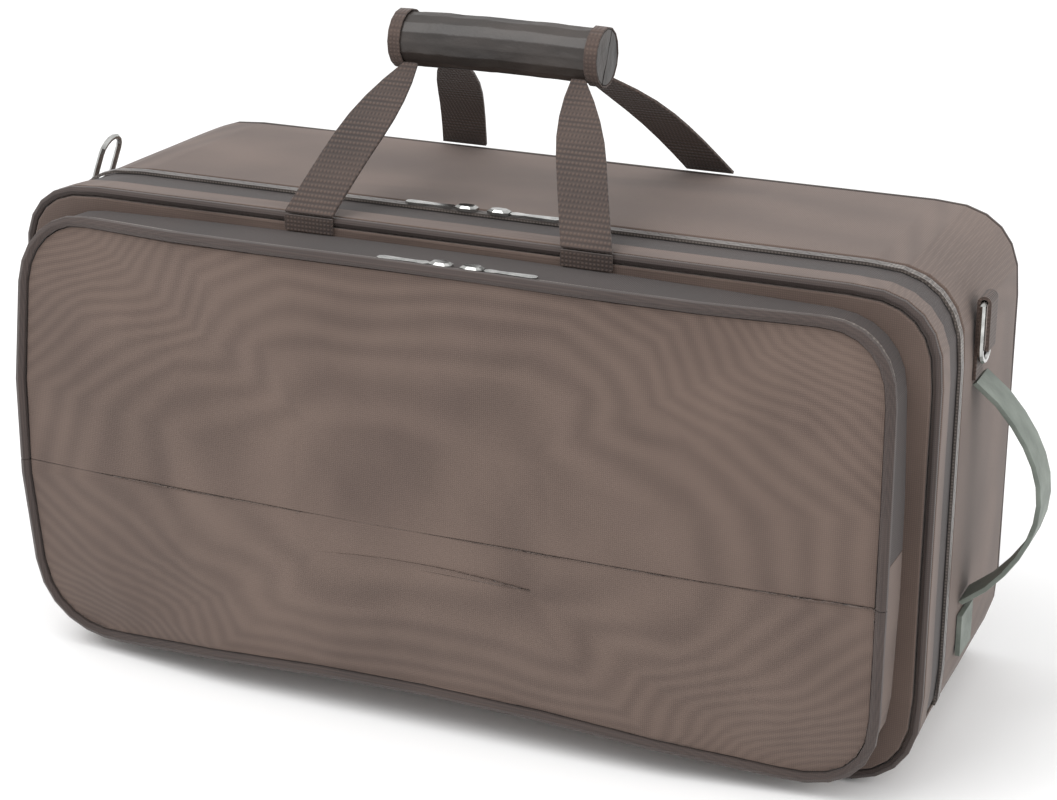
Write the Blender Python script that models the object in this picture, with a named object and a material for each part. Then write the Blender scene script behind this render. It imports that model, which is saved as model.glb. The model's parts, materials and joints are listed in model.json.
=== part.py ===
"""Soft double trumpet case: two zipped shells, a zipped front pocket, two-part carrying handle.

Metres, +X along the length, -Y to the front, +Z up, the floor at z = 0.
"""

import math

import bmesh
import bpy

for old in list(bpy.data.objects):
    bpy.data.objects.remove(old, do_unlink=True)

# Shells
CASE_HALF = 0.285
CASE_TOP = 0.293
MOUTH_GROW = 0.0025
LID_GROW = 0.0025
BACK_Y = 0.120
SEAM_Y = -0.030
LID_DEPTH = 0.050
WALL = 0.009
CORNER_TOP = 0.054
CORNER_BOTTOM = 0.060
CORNER_POWER = 2.61
CORNER_STEPS = 6
GAP = 0.0003
REAR_CORD_R = 0.0022
LID_CORD_R = 0.0028
CORD_SIDES = 6
# Main zip
REBATE = 0.003
REAR_BAND = 0.010
FRONT_BAND = 0.026
TAPE_T = 0.0012
CHAIN_T = 0.0018
CHAIN_REACH = 0.0032
SPINE = 0.0012
TOOTH_PITCH = 0.008
TOOTH_CLEAR = 0.00045
ZIP_END_Z = 0.035
# Lining and fittings
LINING_T = 0.002
PAD_T = 0.010
LID_PAD_T = 0.008
DIVIDER_T = 0.012
DIVIDER_Z = 0.147
DIVIDER_FRONT = -0.024
REST_T = 0.030
REST_REACH = 0.060
BELL_X = 0.215
BELL_NOTCH_R = 0.036
NECK_X = 0.100
NECK_NOTCH_R = 0.018
BOX_X = 0.172
BOX_END_X = 0.252
BOX_Z = 0.026
BOX_H = 0.108
BOX_DEPTH = 0.048
BOX_WALL = 0.003
BLOCK_BORE_R = 0.0115
BLOCK_LENGTH = 0.080
BLOCK_HEIGHT = 0.038
BLOCK_DEPTH = 0.060
# Pocket
POCKET_HALF = 0.269
POCKET_BOTTOM = 0.0060
POCKET_TOP = 0.2833
POCKET_R_TOP = 0.040
POCKET_R_BOTTOM = 0.054
POCKET_BOW = 0.005
POCKET_ARCH = 0.020
POCKET_CROWN = 0.0045
POCKET_DEPTH = 0.0384
POCKET_PULL = 0.016
PANEL_T = 0.004
PANEL_CROWN = 0.0060
POCKET_CORD_R = 0.0034
POCKET_TAPE_T = 0.0016
POCKET_ZIP_Z = 0.150
FOLD_Z = 0.130
# Handles
STRAP_W = 0.031
STRAP_T = 0.002
STRAP_PINCH = 0.009
FRONT_STRAP_LEFT = -0.0895
FRONT_STRAP_RIGHT = 0.0853
REAR_STRAP_LEFT = -0.0835
REAR_STRAP_RIGHT = 0.0857
FRONT_TOP_LEFT = -0.062
FRONT_TOP_RIGHT = 0.046
REAR_TOP_LEFT = -0.050
REAR_TOP_RIGHT = 0.036
GRIP_LEFT = -0.076
GRIP_RIGHT = 0.058
GRIP_Y = 0.015
GRIP_Z = 0.386
GRIP_R = 0.0165
GRIP_ARCH = 0.001
GRIP_TILT = 26.0
BINDING_W = 0.008
BINDING_T = 0.0010
FOOT_H = 0.030
# End fittings
END_HANDLE_Y = 0.015
END_HANDLE_W = 0.026
END_HANDLE_T = 0.003
END_HANDLE_TOP = 0.221
END_HANDLE_BOTTOM = 0.086
END_HANDLE_REACH = 0.041
TAB_H = 0.026
CHAPE_Y = 0.009
CHAPE_W = 0.016
CHAPE_T = 0.002
CHAPE_BAR_Z = 0.270
CHAPE_INNER_H = 0.046
CHAPE_OUTER_H = 0.028
RING_WIRE_R = 0.0018
RING_LENGTH = 0.036
RING_LIFT_RIGHT = 0.0
RING_LIFT_LEFT = 200.0
# Sliders
SLIDER_W = 0.0080
SLIDER_L = 0.014
SLIDER_T = 0.0030
MAIN_SLIDER_LEFT = -0.012
MAIN_SLIDER_RIGHT = 0.009
POCKET_SLIDER_LEFT = 0.0095
POCKET_SLIDER_RIGHT = 0.0290
PULL_W = 0.006
PULL_T = 0.0014
PULL_L = 0.032


def corner(centre_x, centre_z, radius, start, power):
    points = []
    for step in range(CORNER_STEPS + 1):
        angle = math.radians(start + 90.0 * step / CORNER_STEPS)
        c = math.cos(angle)
        s = math.sin(angle)
        px = math.copysign(abs(c) ** (2 / power), c)
        pz = math.copysign(abs(s) ** (2 / power), s)
        points.append((centre_x + radius * px, centre_z + radius * pz))
    return points


def outline(half, bottom, top, r_top, r_bottom, power):
    points = corner(half - r_bottom, bottom + r_bottom, r_bottom, -90.0, power)
    points += corner(half - r_top, top - r_top, r_top, 0.0, power)
    points += corner(r_top - half, top - r_top, r_top, 90.0, power)
    points += corner(r_bottom - half, bottom + r_bottom, r_bottom, 180.0, power)
    return points


def offset(points, inset):
    """The closed outline moved inward along its mitred normals."""
    moved = []
    count = len(points)
    for i, (x, z) in enumerate(points):
        x0, z0 = points[i - 1]
        x1, z1 = points[(i + 1) % count]
        a = math.hypot(x - x0, z - z0)
        b = math.hypot(x1 - x, z1 - z)
        nx = -(z - z0) / a - (z1 - z) / b
        nz = (x - x0) / a + (x1 - x) / b
        size = nx * nx + nz * nz
        moved.append((x + 2 * inset * nx / size, z + 2 * inset * nz / size))
    return moved


def shell_outline(y, inset=0.0):
    if y >= SEAM_Y:
        grow = MOUTH_GROW * (BACK_Y - y) / (BACK_Y - SEAM_Y)
    else:
        grow = MOUTH_GROW + LID_GROW * (SEAM_Y - y) / LID_DEPTH
    base = outline(CASE_HALF + grow, 0.0, CASE_TOP + grow, CORNER_TOP, CORNER_BOTTOM, CORNER_POWER)
    return offset(base, inset)


def ring(y, inset):
    return [(x, y, z) for x, z in shell_outline(y, inset)]


def material(name, colour, roughness, metallic=0.0):
    made = bpy.data.materials.get(name)
    if made is None:
        made = bpy.data.materials.new(name)
        made.use_nodes = True
        shader = made.node_tree.nodes["Principled BSDF"]
        shader.inputs["Base Color"].default_value = (*colour, 1.0)
        shader.inputs["Roughness"].default_value = roughness
        shader.inputs["Metallic"].default_value = metallic
    return made


FABRIC = material("brown_fabric", (0.075, 0.050, 0.040), 0.85)
CORD = material("dark_piping", (0.045, 0.030, 0.025), 0.75)
TAPE = material("zip_tape", (0.030, 0.020, 0.018), 0.85)
CHAIN = material("zip_chain", (0.120, 0.110, 0.105), 0.40, 0.6)
PLUSH = material("plush_lining", (0.040, 0.030, 0.028), 0.95)
FOAM = material("padded_blocks", (0.055, 0.042, 0.038), 0.95)
WEBBING = material("webbing", (0.050, 0.034, 0.028), 0.80)
LEATHER = material("grip_leather", (0.028, 0.022, 0.020), 0.45)
BINDING = material("grip_binding", (0.060, 0.040, 0.032), 0.85)
END_LEATHER = material("end_handle_leather", (0.155, 0.170, 0.155), 0.60)
METAL = material("gunmetal", (0.420, 0.420, 0.410), 0.25, 1.0)


def make(name, bm, mat):
    bmesh.ops.recalc_face_normals(bm, faces=bm.faces)
    mesh = bpy.data.meshes.new(name)
    bm.to_mesh(mesh)
    bm.free()
    mesh.materials.append(mat)
    node = bpy.data.objects.new(name, mesh)
    bpy.context.scene.collection.objects.link(node)
    return node


def loft_mesh(sections, closed):
    bm = bmesh.new()
    rows = [[bm.verts.new(point) for point in section] for section in sections]
    count = len(rows[0])
    spans = len(rows) if closed else len(rows) - 1
    for i in range(spans):
        near = rows[i]
        far = rows[(i + 1) % len(rows)]
        for j in range(count):
            k = (j + 1) % count
            bm.faces.new((near[j], near[k], far[k], far[j]))
    if not closed:
        bm.faces.new(rows[0])
        bm.faces.new(list(reversed(rows[-1])))
    return bm


def loft(name, sections, mat, closed=False):
    return make(name, loft_mesh(sections, closed), mat)


def box(name, low, high, mat):
    base = [(low[0], low[1]), (high[0], low[1]), (high[0], high[1]), (low[0], high[1])]
    return loft(name, [[(x, y, z) for x, y in base] for z in (low[2], high[2])], mat)


def tube(name, path, radius, mat, closed):
    """A round cord along a path that never runs along Y."""
    sections = []
    count = len(path)
    for i, (x, y, z) in enumerate(path):
        before = path[i - 1] if closed or i else path[0]
        after = path[(i + 1) % count] if closed or i < count - 1 else path[-1]
        tx = after[0] - before[0]
        tz = after[2] - before[2]
        size = math.hypot(tx, tz)
        nx = -tz / size
        nz = tx / size
        section = []
        for side in range(CORD_SIDES):
            angle = 2 * math.pi * (side + 0.5) / CORD_SIDES
            out = radius * math.cos(angle)
            section.append((x + nx * out, y + radius * math.sin(angle), z + nz * out))
        sections.append(section)
    return loft(name, sections, mat, closed)


def cut_above(points, level):
    """The part of a closed path above a height, from its right end over the top to its left end."""
    count = len(points)
    kept = []
    for i in range(count):
        a = points[i]
        b = points[(i + 1) % count]
        if a[-1] >= level:
            kept.append(a)
        if (a[-1] - level) * (b[-1] - level) < 0:
            t = (level - a[-1]) / (b[-1] - a[-1])
            kept.append(tuple(p + (q - p) * t for p, q in zip(a, b)))
    return kept


def cut_below(points, level):
    """The part of a closed path below a height, from its left end along the bottom to its right end."""
    flipped = [(*p[:-1], 2 * level - p[-1]) for p in points]
    start = max(range(len(points)), key=lambda i: points[i][-1])
    turned = flipped[start:] + flipped[:start]
    return [(*p[:-1], 2 * level - p[-1]) for p in cut_above(turned, level)]


def band(name, y0, y1, outer, thickness, low, mat, upper=True):
    """A flat strip lying round the shells from y0 to y1, above or below a height."""
    corners = []
    for y, inset in ((y0, outer), (y1, outer), (y1, outer + thickness), (y0, outer + thickness)):
        path = cut_above(shell_outline(y, inset), low) if upper else cut_below(shell_outline(y, inset), low)
        corners.append([(x, y, z) for x, z in path])
    return loft(name, [list(section) for section in zip(*corners)], mat)


def resample(path, step):
    lengths = [0.0]
    for a, b in zip(path, path[1:]):
        lengths.append(lengths[-1] + math.dist(a, b))
    count = 2 * round(lengths[-1] / step / 2)
    points = []
    index = 0
    for i in range(count + 1):
        want = lengths[-1] * i / count
        while index < len(path) - 2 and lengths[index + 1] < want:
            index += 1
        t = (want - lengths[index]) / (lengths[index + 1] - lengths[index])
        a = path[index]
        b = path[index + 1]
        points.append(tuple(p + (q - p) * t for p, q in zip(a, b)))
    return points


def comb(name, path, side, mat):
    """Half a zip chain: a spine with teeth reaching across the centre line, side +1 behind and -1 in front."""
    sections = []
    last = len(path) - 1
    for i, (x, y, z) in enumerate(path):
        before = path[max(i - 1, 0)]
        after = path[min(i + 1, last)]
        tx = after[0] - before[0]
        tz = after[2] - before[2]
        size = math.hypot(tx, tz)
        nx = tz / size
        nz = -tx / size
        deep = (i % 2 == 0) if side > 0 else (i % 2 == 1)
        reach = -CHAIN_REACH / 2 if deep else CHAIN_REACH / 2
        tip = y + side * (reach + TOOTH_CLEAR / 2)
        root = y + side * (CHAIN_REACH / 2 + TOOTH_CLEAR / 2 + SPINE)
        top = CHAIN_T
        sections.append(
            [(x + nx * top, root, z + nz * top), (x + nx * top, tip, z + nz * top), (x, root, z)]
        )
    return loft(name, sections, mat)


CHAIN_HALF = CHAIN_REACH / 2 + TOOTH_CLEAR / 2 + SPINE

# Rear shell, its piping and its half of the zip
notch = 2 * REAR_CORD_R + GAP
lip = SEAM_Y + GAP
loft(
    "rear_shell",
    [
        ring(BACK_Y, notch),
        ring(BACK_Y - notch, notch),
        ring(BACK_Y - notch, 0.0),
        ring(SEAM_Y + REAR_BAND, 0.0),
        ring(SEAM_Y + REAR_BAND, REBATE),
        ring(lip, REBATE),
        ring(lip, WALL),
        ring(BACK_Y - WALL, WALL),
    ],
    FABRIC,
)
rear_cord = [(x, BACK_Y - REAR_CORD_R, z) for x, z in shell_outline(BACK_Y, REAR_CORD_R)]
tube("rear_piping", rear_cord, REAR_CORD_R, CORD, True)
tape_outer = REBATE - GAP - TAPE_T
band("main_zip_tape_rear", SEAM_Y + REAR_BAND - GAP, lip, tape_outer, TAPE_T, ZIP_END_Z, TAPE)
band("hinge_web_body", SEAM_Y + REAR_BAND - GAP, lip, GAP, REBATE - 2 * GAP, ZIP_END_Z - GAP, FABRIC, False)
chain_inset = tape_outer - 3 * GAP
chain_path = [(x, SEAM_Y, z) for x, z in cut_above(shell_outline(SEAM_Y, chain_inset), ZIP_END_Z)]
chain_path = resample(chain_path, TOOTH_PITCH / 2)
comb("main_zip_chain_rear", chain_path, 1, CHAIN)

# Lining, base pad and the two bays
lining_front = SEAM_Y + 2 * GAP
inner = WALL + GAP
pad_back = BACK_Y - WALL - LINING_T - 2 * GAP
loft(
    "body_lining",
    [
        ring(BACK_Y - WALL - GAP, inner),
        ring(lining_front, inner),
        ring(lining_front, inner + LINING_T),
        ring(pad_back + GAP, inner + LINING_T),
    ],
    PLUSH,
)
fit = inner + LINING_T + GAP
loft("base_pad", [ring(pad_back, fit), ring(pad_back - PAD_T, fit)], PLUSH)
floor_y = pad_back - PAD_T - GAP
bay_half = CASE_HALF - fit
box(
    "bay_divider",
    (-bay_half, DIVIDER_FRONT, DIVIDER_Z - DIVIDER_T / 2),
    (bay_half, floor_y, DIVIDER_Z + DIVIDER_T / 2),
    FOAM,
)
lower_bay = (fit, DIVIDER_Z - DIVIDER_T / 2 - GAP)
upper_bay = (DIVIDER_Z + DIVIDER_T / 2 + GAP, CASE_TOP - fit)


def saddle(name, centre_x, bay, radius):
    """A padded rest across a bay with a round notch for the tube."""
    low, high = bay
    middle = (low + high) / 2
    front = floor_y - REST_REACH
    profile = [(floor_y, low), (front, low), (front, middle - radius)]
    for step in range(1, 8):
        angle = math.pi * (step / 8) - math.pi / 2
        profile.append((front + radius * math.cos(angle), middle + radius * math.sin(angle)))
    profile += [(front, middle + radius), (front, high), (floor_y, high)]
    sides = (centre_x - REST_T / 2, centre_x + REST_T / 2)
    return loft(name, [[(x, y, z) for y, z in profile] for x in sides], FOAM)


saddle("bell_rest_lower", -BELL_X + REST_T, lower_bay, BELL_NOTCH_R)
saddle("bell_rest_upper", BELL_X - REST_T, upper_bay, BELL_NOTCH_R)
saddle("neck_rest_lower", NECK_X, lower_bay, NECK_NOTCH_R)
saddle("neck_rest_upper", -NECK_X, upper_bay, NECK_NOTCH_R)

# Accessory box with a hinged lid, open to the front
front_y = floor_y - BOX_DEPTH
low_x, high_x = BOX_X, BOX_END_X
low_z, high_z = BOX_Z, BOX_Z + BOX_H


def rectangle(y, inset):
    return [
        (low_x + inset, y, low_z + inset),
        (high_x - inset, y, low_z + inset),
        (high_x - inset, y, high_z - inset),
        (low_x + inset, y, high_z - inset),
    ]


loft(
    "accessory_box",
    [
        rectangle(floor_y, 0.0),
        rectangle(front_y, 0.0),
        rectangle(front_y, BOX_WALL),
        rectangle(floor_y - BOX_WALL, BOX_WALL),
    ],
    FOAM,
)
box(
    "accessory_lid",
    (low_x, front_y - GAP - BOX_WALL, low_z),
    (high_x, front_y - GAP, high_z),
    PLUSH,
)

# Mouthpiece block: two bores open to the front
block_x = -BELL_X
block_low = upper_bay[0]
centre_z = block_low + BLOCK_HEIGHT / 2
half = BLOCK_LENGTH / 2
profile = [(block_x - half, block_low), (block_x + half, block_low), (block_x + half, block_low + BLOCK_HEIGHT)]
for bore in (half / 2, -half / 2):
    for step in range(9):
        angle = math.pi * step / 8
        rise = BLOCK_BORE_R * math.sin(angle)
        profile.append((block_x + bore + BLOCK_BORE_R * math.cos(angle), block_low + BLOCK_HEIGHT - rise))
profile.append((block_x - half, block_low + BLOCK_HEIGHT))
ends = (floor_y, floor_y - BLOCK_DEPTH)
loft("mouthpiece_block", [[(x, y, z) for x, z in profile] for y in ends], FOAM)

# Lid shell, its piping and its half of the zip
lid_front = SEAM_Y - LID_DEPTH
lid_notch = 2 * LID_CORD_R + GAP
lid_lip = SEAM_Y - GAP
loft(
    "lid_shell",
    [
        ring(lid_front, lid_notch),
        ring(lid_front + lid_notch, lid_notch),
        ring(lid_front + lid_notch, 0.0),
        ring(SEAM_Y - FRONT_BAND, 0.0),
        ring(SEAM_Y - FRONT_BAND, REBATE),
        ring(lid_lip, REBATE),
        ring(lid_lip, WALL),
        ring(lid_front + WALL, WALL),
    ],
    FABRIC,
)
lid_cord = [(x, lid_front + LID_CORD_R, z) for x, z in shell_outline(lid_front, LID_CORD_R)]
tube("lid_piping", lid_cord, LID_CORD_R, CORD, True)
band("main_zip_tape_front", SEAM_Y - FRONT_BAND + GAP, lid_lip, tape_outer, TAPE_T, ZIP_END_Z, TAPE)
band("hinge_web_lid", SEAM_Y - FRONT_BAND + GAP, lid_lip, GAP, REBATE - 2 * GAP, ZIP_END_Z - GAP, FABRIC, False)
comb("main_zip_chain_front", chain_path, -1, CHAIN)
pad_front = lid_front + WALL + GAP
loft("lid_pad", [ring(pad_front, inner), ring(pad_front + LID_PAD_T, inner)], PLUSH)

# Pocket
POCKET_POWER = 2.27
pocket_mid = (POCKET_TOP + POCKET_BOTTOM) / 2
pocket_tall = (POCKET_TOP - POCKET_BOTTOM) / 2


def pocket_edge():
    """The panel's edge: bowed sides, a crowned top, an arched bottom, corners drawn back."""
    base = outline(POCKET_HALF, POCKET_BOTTOM, POCKET_TOP, POCKET_R_TOP, POCKET_R_BOTTOM, POCKET_POWER)
    dense = []
    for i, a in enumerate(base):
        b = base[(i + 1) % len(base)]
        pieces = max(1, round(math.dist(a, b) / 0.070))
        for k in range(pieces):
            dense.append((a[0] + (b[0] - a[0]) * k / pieces, a[1] + (b[1] - a[1]) * k / pieces))
    points = []
    for x, z in dense:
        u = x / POCKET_HALF
        v = (z - pocket_mid) / pocket_tall
        wide = x + math.copysign(POCKET_BOW, x) * (1 - v * v) * abs(u)
        arch = POCKET_ARCH * ((1 - v) / 2) ** 6 * (1 - u * u)
        crown = POCKET_CROWN * ((1 + v) / 2) ** 6 * (1 - u * u)
        lean = max(0.0, (abs(u) - 0.45) / 0.55)
        back = POCKET_PULL * lean * lean * (3 - 2 * lean) * v * v
        points.append((wide, lid_front - POCKET_DEPTH + back, z + arch + crown))
    return points


edge = pocket_edge()


def edge_moved(inset, forward):
    flat = offset([(x, z) for x, _, z in edge], inset)
    return [(x, y + forward, z) for (x, z), (_, y, _) in zip(flat, edge)]


def split_tube(name, upper):
    level = FOLD_Z + GAP / 2 if upper else FOLD_Z - GAP / 2
    path = cut_above(edge, level) if upper else cut_below(edge, level)
    return tube(name, path, POCKET_CORD_R, CORD, False)


split_tube("pocket_piping_upper", True)
split_tube("pocket_piping_lower", False)


def panel(name, upper):
    """The crowned front panel, cut level at the fold."""
    rim = edge_moved(POCKET_CORD_R + GAP, 0.0)
    face_y = lid_front - POCKET_DEPTH - PANEL_CROWN

    def shrunk(scale, behind):
        section = []
        for x, y, z in rim:
            depth = face_y + (y - face_y) * scale**3 + behind
            section.append((x * scale, depth, pocket_mid + (z - pocket_mid) * scale))
        return section

    scales = (0.3, 0.6, 0.85, 1.0)
    sections = [shrunk(scale, PANEL_T) for scale in scales]
    sections += [shrunk(scale, 0.0) for scale in reversed(scales)]
    bm = loft_mesh(sections, False)
    bmesh.ops.triangulate(bm, faces=bm.faces)
    level = FOLD_Z + GAP / 2 if upper else FOLD_Z - GAP / 2
    cut = bmesh.ops.bisect_plane(
        bm,
        geom=bm.verts[:] + bm.edges[:] + bm.faces[:],
        plane_co=(0, 0, level),
        plane_no=(0, 0, 1),
        clear_inner=upper,
        clear_outer=not upper,
    )
    rims = [item for item in cut["geom_cut"] if isinstance(item, bmesh.types.BMEdge)]
    bmesh.ops.edgenet_fill(bm, edges=rims)
    return make(name, bm, FABRIC)


panel("pocket_panel_upper", True)
panel("pocket_panel_lower", False)
zip_back = POCKET_CORD_R + GAP + CHAIN_HALF


def wall_band(name, forward, outer, thickness, upper, level, mat):
    """The pocket's wall from the lid's face to a distance behind the piping's centre."""
    corners = []
    for inset, reaches in ((outer, False), (outer, True), (outer + thickness, True), (outer + thickness, False)):
        moved = edge_moved(inset, forward)
        if not reaches:
            moved = [(x, lid_front - GAP, z) for x, _, z in moved]
        corners.append(cut_above(moved, level) if upper else cut_below(moved, level))
    return loft(name, [list(section) for section in zip(*corners)], mat)


wall_band("pocket_zip_tape", zip_back + CHAIN_HALF + GAP, 0.0, POCKET_TAPE_T, True, POCKET_ZIP_Z, TAPE)
wall_band("pocket_gusset", POCKET_CORD_R + GAP, 0.0, POCKET_TAPE_T, False, POCKET_ZIP_Z - GAP, FABRIC)
pocket_path = cut_above(edge_moved(POCKET_TAPE_T, zip_back), POCKET_ZIP_Z)
pocket_path = resample(pocket_path, TOOTH_PITCH / 2)
comb("pocket_zip_chain_rear", pocket_path, 1, CHAIN)
comb("pocket_zip_chain_front", pocket_path, -1, CHAIN)


# Handles
def strip(name, centres, widths, thickness, mat):
    """A flat strap whose width lies along X, through centres (x, y, z)."""
    sections = []
    last = len(centres) - 1
    for i, (x, y, z) in enumerate(centres):
        y0, z0 = centres[max(i - 1, 0)][1:]
        y1, z1 = centres[min(i + 1, last)][1:]
        size = math.hypot(y1 - y0, z1 - z0)
        ny = -(z1 - z0) / size * thickness / 2
        nz = (y1 - y0) / size * thickness / 2
        w = widths[i] / 2
        sections.append(
            [(x - w, y - ny, z - nz), (x + w, y - ny, z - nz), (x + w, y + ny, z + nz), (x - w, y + ny, z + nz)]
        )
    return loft(name, sections, mat)


LID_TOP = CASE_TOP + MOUTH_GROW + LID_GROW
front_pivot = (lid_front - GAP - STRAP_T / 2, LID_TOP + 2 * GAP)
rear_pivot = (BACK_Y + GAP + STRAP_T / 2, CASE_TOP + GAP)


def leg(name, low_x, top_x, pivot, bulge):
    """A strap from its foot to the underside of the grip, narrowing where it is gathered."""
    dy = pivot[0] - GRIP_Y
    dz = pivot[1] - GRIP_Z
    size = math.hypot(dy, dz)
    reach = GRIP_R + BINDING_T + GRIP_ARCH + 2 * GAP
    end_y = GRIP_Y + dy / size * reach
    end_z = GRIP_Z + dz / size * reach
    centres = []
    widths = []
    for step in range(9):
        t = step / 8
        swell = bulge * math.sin(math.pi * t)
        y = pivot[0] + (end_y - pivot[0]) * t - swell * dz / size * math.copysign(1.0, dy)
        z = pivot[1] + (end_z - pivot[1]) * t + swell * abs(dy) / size
        centres.append((low_x + (top_x - low_x) * t, y, z + GAP))
        widths.append(STRAP_W + (STRAP_PINCH - STRAP_W) * max(0.0, (t - 0.5) / 0.5) ** 2)
    return strip(name, centres, widths, STRAP_T, WEBBING)


leg("front_strap_left", FRONT_STRAP_LEFT, FRONT_TOP_LEFT, front_pivot, 0.003)
leg("front_strap_right", FRONT_STRAP_RIGHT, FRONT_TOP_RIGHT, front_pivot, 0.003)
leg("rear_strap_left", REAR_STRAP_LEFT, REAR_TOP_LEFT, rear_pivot, 0.006)
leg("rear_strap_right", REAR_STRAP_RIGHT, REAR_TOP_RIGHT, rear_pivot, 0.006)
foot_root = max(z for _, _, z in edge) + 2 * GAP
for side, foot_x in (("left", FRONT_STRAP_LEFT), ("right", FRONT_STRAP_RIGHT)):
    box(
        f"front_strap_foot_{side}",
        (foot_x - STRAP_W / 2, lid_front - GAP - STRAP_T, foot_root),
        (foot_x + STRAP_W / 2, lid_front - GAP, front_pivot[1] - STRAP_T / 2),
        WEBBING,
    )
for side, foot_x in (("left", REAR_STRAP_LEFT), ("right", REAR_STRAP_RIGHT)):
    box(
        f"rear_strap_foot_{side}",
        (foot_x - STRAP_W / 2, BACK_Y + GAP, CASE_TOP - FOOT_H),
        (foot_x + STRAP_W / 2, BACK_Y + GAP + STRAP_T, rear_pivot[1] - STRAP_T),
        WEBBING,
    )


def half_round(name, x0, x1, inner_r, outer_r, side, mat):
    """Half of the grip or of its binding, side -1 in front and +1 behind the slanted parting plane."""
    tilt = math.radians(90.0 - GRIP_TILT)
    shift = side * GAP / 2
    sections = []
    for step in range(5):
        t = step / 4
        x = x0 + (x1 - x0) * t
        span = (x - GRIP_LEFT) / (GRIP_RIGHT - GRIP_LEFT)
        rise = GRIP_ARCH * (4 * span * (1 - span) - 1)
        centre_y = GRIP_Y + shift * math.sin(tilt)
        centre_z = GRIP_Z + rise - shift * math.cos(tilt)
        arc = [tilt - side * math.pi * k / 8 for k in range(9)]
        section = [(centre_y + outer_r * math.cos(a), centre_z + outer_r * math.sin(a)) for a in arc]
        if inner_r > 0:
            section += [
                (centre_y + inner_r * math.cos(a), centre_z + inner_r * math.sin(a)) for a in reversed(arc)
            ]
        sections.append([(x, y, z) for y, z in section])
    return loft(name, sections, mat)


for word, side in (("front", -1), ("rear", 1)):
    half_round(f"grip_{word}", GRIP_LEFT, GRIP_RIGHT, 0.0, GRIP_R, side, LEATHER)
    wrap_r = GRIP_R + GAP
    half_round(
        f"grip_binding_{word}_left", GRIP_LEFT, GRIP_LEFT + BINDING_W, wrap_r, wrap_r + BINDING_T, side, BINDING
    )
    half_round(
        f"grip_binding_{word}_right", GRIP_RIGHT - BINDING_W, GRIP_RIGHT, wrap_r, wrap_r + BINDING_T, side, BINDING
    )

# End handle, its lower tab, and the ring chapes
wall_x = max(x for x, _ in shell_outline(END_HANDLE_Y - END_HANDLE_W / 2)) + GAP
sections = []
for step in range(13):
    t = step / 12
    z = END_HANDLE_TOP + (END_HANDLE_BOTTOM - END_HANDLE_TOP) * t
    x = wall_x + END_HANDLE_REACH * math.sin(math.pi * t) ** 0.8
    slope = math.atan2(
        END_HANDLE_REACH * 0.8 * math.pi * math.cos(math.pi * t), END_HANDLE_TOP - END_HANDLE_BOTTOM
    )
    nx = math.cos(slope) * END_HANDLE_T
    nz = math.sin(slope) * END_HANDLE_T
    y0 = END_HANDLE_Y - END_HANDLE_W / 2
    y1 = END_HANDLE_Y + END_HANDLE_W / 2
    sections.append([(x, y0, z), (x, y1, z), (x + nx, y1, z + nz), (x + nx, y0, z + nz)])
loft("end_handle", sections, END_LEATHER)
box(
    "end_handle_tab",
    (wall_x, END_HANDLE_Y - END_HANDLE_W / 2, END_HANDLE_BOTTOM - 3 * END_HANDLE_T - TAB_H),
    (wall_x + END_HANDLE_T, END_HANDLE_Y + END_HANDLE_W / 2, END_HANDLE_BOTTOM - 3 * END_HANDLE_T),
    END_LEATHER,
)
bar_hole = RING_WIRE_R + GAP
bar_x = wall_x + CHAPE_T + bar_hole


def chape(name, side):
    """A leather strip folded over the ring's bar and sewn to the end wall."""
    profile = [(wall_x, CHAPE_BAR_Z - CHAPE_INNER_H)]
    outer = bar_hole + CHAPE_T
    for step in range(9):
        angle = math.pi - math.pi * step / 8
        profile.append((bar_x + outer * math.cos(angle), CHAPE_BAR_Z + outer * math.sin(angle)))
    profile.append((bar_x + outer, CHAPE_BAR_Z - CHAPE_OUTER_H))
    profile.append((bar_x + bar_hole, CHAPE_BAR_Z - CHAPE_OUTER_H))
    for step in range(9):
        angle = math.pi * step / 8
        profile.append((bar_x + bar_hole * math.cos(angle), CHAPE_BAR_Z + bar_hole * math.sin(angle)))
    profile.append((wall_x + CHAPE_T, CHAPE_BAR_Z - CHAPE_INNER_H))
    ends = (CHAPE_Y - CHAPE_W / 2, CHAPE_Y + CHAPE_W / 2)
    return loft(name, [[(side * x, y, z) for x, z in profile] for y in ends], WEBBING)


def d_ring(name, side, lift):
    """A wire D whose straight bar lies in the chape, turned outward and up by lift degrees."""
    half_bar = CHAPE_W / 2 + RING_WIRE_R + GAP
    path = [(-half_bar * k / 3, 0.0) for k in range(3)]
    path += [(-half_bar, -0.001)]
    arc_r = half_bar
    straight = RING_LENGTH - arc_r
    for k in range(9):
        angle = math.pi + math.pi * k / 8
        path.append((arc_r * math.cos(angle), -straight + arc_r * math.sin(angle)))
    path += [(half_bar, -0.001)]
    path += [(half_bar * k / 3, 0.0) for k in (2, 1)]
    sections = []
    count = len(path)
    turn = math.radians(lift)
    for i, (u, w) in enumerate(path):
        u0, w0 = path[i - 1]
        u1, w1 = path[(i + 1) % count]
        size = math.hypot(u1 - u0, w1 - w0)
        nu = -(w1 - w0) / size
        nw = (u1 - u0) / size
        section = []
        for k in range(6):
            angle = 2 * math.pi * k / 6
            ring_u = u + nu * RING_WIRE_R * math.cos(angle)
            ring_w = w + nw * RING_WIRE_R * math.cos(angle)
            ring_x = RING_WIRE_R * math.sin(angle)
            px = ring_x * math.cos(turn) - ring_w * math.sin(turn)
            pz = ring_x * math.sin(turn) + ring_w * math.cos(turn)
            section.append((side * (bar_x + px), CHAPE_Y + ring_u, CHAPE_BAR_Z + pz))
        sections.append(section)
    return loft(name, sections, METAL, True)


for word, side, lift in (("right", 1, RING_LIFT_RIGHT), ("left", -1, RING_LIFT_LEFT)):
    chape(f"ring_chape_{word}", side)
    d_ring(f"d_ring_{word}", side, lift)


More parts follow.
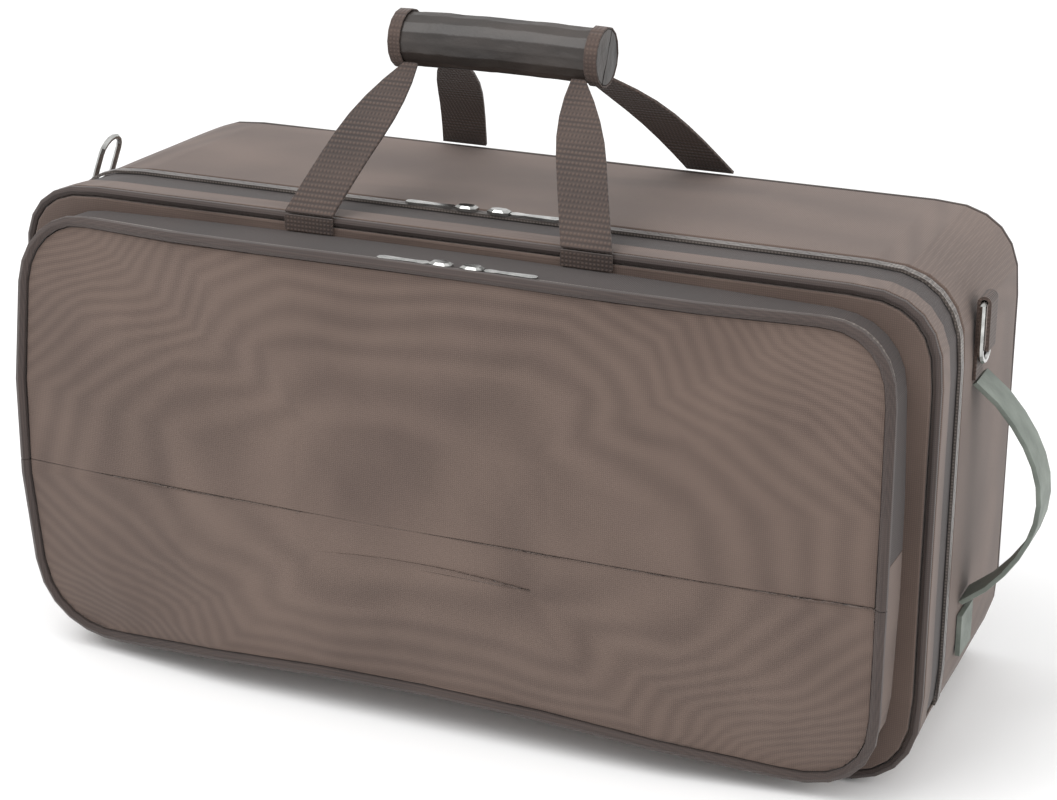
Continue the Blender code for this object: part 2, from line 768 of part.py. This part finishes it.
# Sliders and pulls
def slider(name, x, y, z):
    """A cap slider: nose, shoulders and tail in plan, riding on the chain."""
    plan = [(-0.5, -0.25), (-0.2, -0.5), (0.3, -0.5), (0.5, -0.3), (0.5, 0.3), (0.3, 0.5), (-0.2, 0.5), (-0.5, 0.25)]
    levels = ((0.0, 1.0), (0.6, 1.0), (1.0, 0.7))
    sections = []
    for up, scale in levels:
        sections.append(
            [(x + u * SLIDER_L * scale, y + v * SLIDER_W * scale, z + up * SLIDER_T) for u, v in plan]
        )
    return loft(name, sections, METAL)


def pull(name, x, y, z, side):
    """A flat tab from the slider's loop outward, waisted, lying on the zip."""
    shares = ((0.0, 0.5), (0.08, 1.0), (0.3, 0.7), (0.7, 0.9), (0.92, 1.0), (1.0, 0.5))
    sections = []
    for along, wide in shares:
        px = x + side * along * PULL_L
        w = PULL_W * wide / 2
        sections.append([(px, y - w, z), (px, y + w, z), (px, y + w, z + PULL_T), (px, y - w, z + PULL_T)])
    return loft(name, sections, METAL)


main_z = max(z for _, _, z in chain_path) + CHAIN_T + GAP
slot = SLIDER_L / 2 + GAP
for word, x, side in (("left", MAIN_SLIDER_LEFT, -1), ("right", MAIN_SLIDER_RIGHT, 1)):
    slider(f"main_slider_{word}", x, SEAM_Y, main_z)
    pull(f"main_pull_{word}", x + side * slot, SEAM_Y, main_z, side)


for word, x, side in (("left", POCKET_SLIDER_LEFT, -1), ("right", POCKET_SLIDER_RIGHT, 1)):
    y = lid_front - POCKET_DEPTH + POCKET_CORD_R + GAP + SLIDER_W / 2
    high = max(p[2] for p in pocket_path) + CHAIN_T + GAP
    slider(f"pocket_slider_{word}", x, y, high)
    pull(f"pocket_pull_{word}", x + side * slot, y, high, side)

print("slider heights", main_z, high, "pocket slider", y, "fold", min(p[1] for p in edge))
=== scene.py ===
"""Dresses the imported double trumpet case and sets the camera, floor and light."""

import json
import math

import bpy
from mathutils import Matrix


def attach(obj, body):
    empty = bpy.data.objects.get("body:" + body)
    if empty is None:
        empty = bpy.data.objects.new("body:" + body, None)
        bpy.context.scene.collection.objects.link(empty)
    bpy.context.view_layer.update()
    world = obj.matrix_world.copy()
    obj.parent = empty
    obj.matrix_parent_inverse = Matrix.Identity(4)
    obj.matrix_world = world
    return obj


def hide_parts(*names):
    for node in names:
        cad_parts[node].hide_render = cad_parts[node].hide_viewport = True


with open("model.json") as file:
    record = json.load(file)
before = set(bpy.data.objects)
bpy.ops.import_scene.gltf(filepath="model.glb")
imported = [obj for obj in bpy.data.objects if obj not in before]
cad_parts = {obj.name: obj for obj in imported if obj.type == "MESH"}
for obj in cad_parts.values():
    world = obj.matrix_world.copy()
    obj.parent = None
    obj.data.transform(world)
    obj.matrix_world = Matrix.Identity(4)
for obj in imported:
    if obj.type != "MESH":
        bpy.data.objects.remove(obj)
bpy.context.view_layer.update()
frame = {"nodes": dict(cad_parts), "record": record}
nodes = frame["nodes"]
record = frame["record"]
body_of = {node: body for body, held in record["behaviour"]["bodies"].items() for node in held}
slot_of = {row["node"]: row["material_slot"] for row in record["subparts"]}


# Sizes, in metres and degrees
THREAD = 260.0
COARSE_THREAD = 130.0
WELD_REACH = 0.00001
SHELL_EDGE = 0.0012
FINE_EDGE = 0.0004
EDGE_ANGLE = 40
SWELL = 0.0016
SWELL_MIDDLE = 0.6
PUFF_SIZE = 0.11
CRUMPLE_SIZE = 0.018
FLOOR_REACH = 6.0
FLOOR_DROP = 0.0002
LENS_MM = 85.89
SENSOR_MM = 36.0
CAMERA_PLACE = (0.5937, -1.3220, 0.7144)
AZIMUTH = math.radians(23.656)
ELEVATION = math.radians(20.622)


# Materials
class Graph:
    """A short way to build a node material in object coordinates."""

    def __init__(self, name):
        self.material = bpy.data.materials.new(name)
        self.material.use_nodes = True
        self.tree = self.material.node_tree
        self.shader = self.tree.nodes["Principled BSDF"]
        self.place = self.add("ShaderNodeTexCoord").outputs["Object"]

    def add(self, kind, **settings):
        node = self.tree.nodes.new(kind)
        for key, value in settings.items():
            setattr(node, key, value)
        return node

    def join(self, source, target):
        self.tree.links.new(source, target)

    def noise(self, scale, detail=4.0, squeeze=(1, 1, 1)):
        mapping = self.add("ShaderNodeMapping")
        mapping.inputs["Scale"].default_value = squeeze
        self.join(self.place, mapping.inputs["Vector"])
        made = self.add("ShaderNodeTexNoise")
        made.inputs["Scale"].default_value = scale
        made.inputs["Detail"].default_value = detail
        self.join(mapping.outputs["Vector"], made.inputs["Vector"])
        return made.outputs["Fac"]

    def wave(self, axis, scale, distortion=0.3):
        made = self.add("ShaderNodeTexWave", wave_type="BANDS", bands_direction=axis)
        made.inputs["Scale"].default_value = scale
        made.inputs["Distortion"].default_value = distortion
        made.inputs["Detail"].default_value = 1.0
        self.join(self.place, made.inputs["Vector"])
        return made.outputs["Fac"]

    def math(self, how, a, b):
        made = self.add("ShaderNodeMath", operation=how)
        for socket, value in zip(made.inputs, (a, b)):
            if isinstance(value, (int, float)):
                socket.default_value = value
            else:
                self.join(value, socket)
        return made.outputs[0]

    def ramp(self, value, low, high, start=0.3, end=0.7):
        made = self.add("ShaderNodeValToRGB")
        made.color_ramp.elements[0].position = start
        made.color_ramp.elements[0].color = (*low, 1)
        made.color_ramp.elements[1].position = end
        made.color_ramp.elements[1].color = (*high, 1)
        self.join(value, made.inputs["Fac"])
        return made.outputs["Color"]

    def bump(self, height, strength, distance):
        made = self.add("ShaderNodeBump")
        made.inputs["Strength"].default_value = strength
        made.inputs["Distance"].default_value = distance
        self.join(height, made.inputs["Height"])
        self.join(made.outputs["Normal"], self.shader.inputs["Normal"])


def linear(red, green, blue):
    return tuple(((c / 255 + 0.055) / 1.055) ** 2.4 if c > 10 else c / 255 / 12.92 for c in (red, green, blue))


def woven(name, low, high, thread, roughness, strength):
    """Cloth: crossed threads along all three axes, with a soft mottle."""
    g = Graph(name)
    threads = g.math("MULTIPLY", g.wave("X", thread), g.wave("Z", thread))
    threads = g.math("ADD", threads, g.math("MULTIPLY", g.wave("Y", thread), 0.5))
    mottle = g.noise(14.0, 5.0)
    mixed = g.math("ADD", g.math("MULTIPLY", threads, 0.35), g.math("MULTIPLY", mottle, 0.65))
    g.join(g.ramp(mixed, low, high, 0.25, 0.75), g.shader.inputs["Base Color"])
    g.shader.inputs["Roughness"].default_value = roughness
    g.shader.inputs["Sheen Weight"].default_value = 0.15
    g.bump(threads, strength, 0.0004)
    return g.material


def leather(name, low, high, roughness):
    """Leather: fine grain over broad creases."""
    g = Graph(name)
    grain = g.noise(420.0, 3.0)
    crease = g.noise(38.0, 6.0, (0.5, 1.4, 1.4))
    height = g.math("ADD", g.math("MULTIPLY", grain, 0.35), crease)
    g.join(g.ramp(crease, low, high), g.shader.inputs["Base Color"])
    g.shader.inputs["Roughness"].default_value = roughness
    g.bump(height, 0.5, 0.0012)
    return g.material


def metal(name, low, high, roughness):
    g = Graph(name)
    stain = g.noise(160.0, 5.0)
    g.join(g.ramp(stain, low, high), g.shader.inputs["Base Color"])
    g.shader.inputs["Metallic"].default_value = 1.0
    g.shader.inputs["Roughness"].default_value = roughness
    g.bump(g.noise(700.0), 0.08, 0.0002)
    return g.material


looks = {
    "brown_fabric": woven("cloth_brown", linear(78, 63, 56), linear(104, 87, 78), THREAD, 0.82, 0.25),
    "dark_piping": woven("cloth_piping", linear(44, 34, 31), linear(66, 53, 48), THREAD, 0.7, 0.3),
    "zip_tape": woven("cloth_tape", linear(38, 29, 27), linear(52, 41, 38), THREAD, 0.85, 0.35),
    "zip_chain": woven("chain_dark", linear(46, 38, 35), linear(120, 112, 106), 160.0, 0.4, 0.2),
    "plush_lining": woven("cloth_plush", linear(44, 36, 33), linear(62, 52, 48), 120.0, 0.95, 0.5),
    "padded_blocks": woven("cloth_blocks", linear(50, 42, 38), linear(70, 60, 55), 120.0, 0.95, 0.5),
    "webbing": woven("webbing_weave", linear(40, 30, 27), linear(82, 66, 58), COARSE_THREAD, 0.75, 0.8),
    "grip_leather": leather("leather_grip", linear(30, 26, 24), linear(58, 51, 47), 0.42),
    "grip_binding": woven("binding_weave", linear(58, 45, 40), linear(84, 68, 60), COARSE_THREAD, 0.8, 0.6),
    # End handle leather: the grey-green tone is a painted reflection of the studio light on glossy near-black
    # leather, not its own colour.
    "end_handle_leather": leather("leather_end_painted_sheen", linear(92, 99, 92), linear(124, 131, 123), 0.55),
    "gunmetal": metal("metal_bright", linear(150, 150, 148), linear(205, 205, 202), 0.22),
}

soft_slots = {slot for slot in looks if slot not in ("gunmetal", "zip_chain")}
shells = {"lid_shell", "rear_shell", "pocket_panel_upper", "pocket_panel_lower"}
puff = bpy.data.textures.new("cloth_puff", "CLOUDS")
puff.noise_scale = PUFF_SIZE
puff.noise_depth = 1
crumple = bpy.data.textures.new("leather_crumple", "CLOUDS")
crumple.noise_scale = CRUMPLE_SIZE


def dressed(name):
    """A finer, softened piece in the space of a soft node."""
    node = nodes[name]
    piece = bpy.data.objects.new(f"{name}_cloth", node.data.copy())
    bpy.context.scene.collection.objects.link(piece)
    weld = piece.modifiers.new("weld", "WELD")
    weld.merge_threshold = WELD_REACH
    bevel = piece.modifiers.new("edges", "BEVEL")
    bevel.width = SHELL_EDGE if name in shells else FINE_EDGE
    bevel.segments = 2
    bevel.limit_method = "ANGLE"
    bevel.angle_limit = math.radians(EDGE_ANGLE)
    if name in shells or slot_of[name] == "grip_leather":
        split = piece.modifiers.new("finer", "SUBSURF")
        split.subdivision_type = "SIMPLE"
        split.levels = 3
        split.render_levels = 3
        swell = piece.modifiers.new("swell", "DISPLACE")
        swell.texture = crumple if slot_of[name] == "grip_leather" else puff
        swell.texture_coords = "GLOBAL"
        swell.strength = SWELL
        swell.mid_level = SWELL_MIDDLE
    for face in piece.data.polygons:
        face.use_smooth = True
    normals = piece.modifiers.new("normals", "WEIGHTED_NORMAL")
    normals.keep_sharp = True
    piece.data.materials.clear()
    piece.data.materials.append(looks[slot_of[name]])
    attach(piece, body_of[name])
    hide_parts(name)


for name, slot in slot_of.items():
    if slot in soft_slots:
        dressed(name)
    else:
        for holder in nodes[name].material_slots:
            holder.material = looks[slot]

# Floor, light and camera
floor_mesh = bpy.data.meshes.new("floor")
corners = [(FLOOR_REACH * x, FLOOR_REACH * y, 0) for x, y in ((-1, -1), (1, -1), (1, 1), (-1, 1))]
floor_mesh.from_pydata(corners, [], [(0, 1, 2, 3)])
floor = bpy.data.objects.new("floor", floor_mesh)
bpy.context.scene.collection.objects.link(floor)
floor.location.z = -FLOOR_DROP
paper = Graph("floor_paper")
paper.shader.inputs["Base Color"].default_value = (0.93, 0.93, 0.93, 1)
paper.shader.inputs["Roughness"].default_value = 0.9
floor_mesh.materials.append(paper.material)

world = bpy.data.worlds.new("studio")
bpy.context.scene.world = world
world.use_nodes = True
world.node_tree.nodes["Background"].inputs["Color"].default_value = (1, 1, 1, 1)
world.node_tree.nodes["Background"].inputs["Strength"].default_value = 1.0


def lamp(name, place, size, power):
    light = bpy.data.lights.new(name, "AREA")
    light.size = size
    light.energy = power
    made = bpy.data.objects.new(name, light)
    bpy.context.scene.collection.objects.link(made)
    made.location = place
    made.rotation_euler = (-made.location).to_track_quat("-Z", "Y").to_euler()


lamp("key", (-0.8, -1.2, 2.4), 1.8, 38.0)
lamp("side", (2.4, -0.4, 1.4), 1.4, 16.0)

camera_data = bpy.data.cameras.new("camera")
camera_data.lens = LENS_MM
camera_data.sensor_width = SENSOR_MM
camera = bpy.data.objects.new("camera", camera_data)
camera.location = CAMERA_PLACE
camera.rotation_euler = (math.pi / 2 - ELEVATION, 0.0, AZIMUTH)
bpy.context.scene.collection.objects.link(camera)
bpy.context.scene.camera = camera
bpy.context.scene.view_settings.view_transform = "Standard"
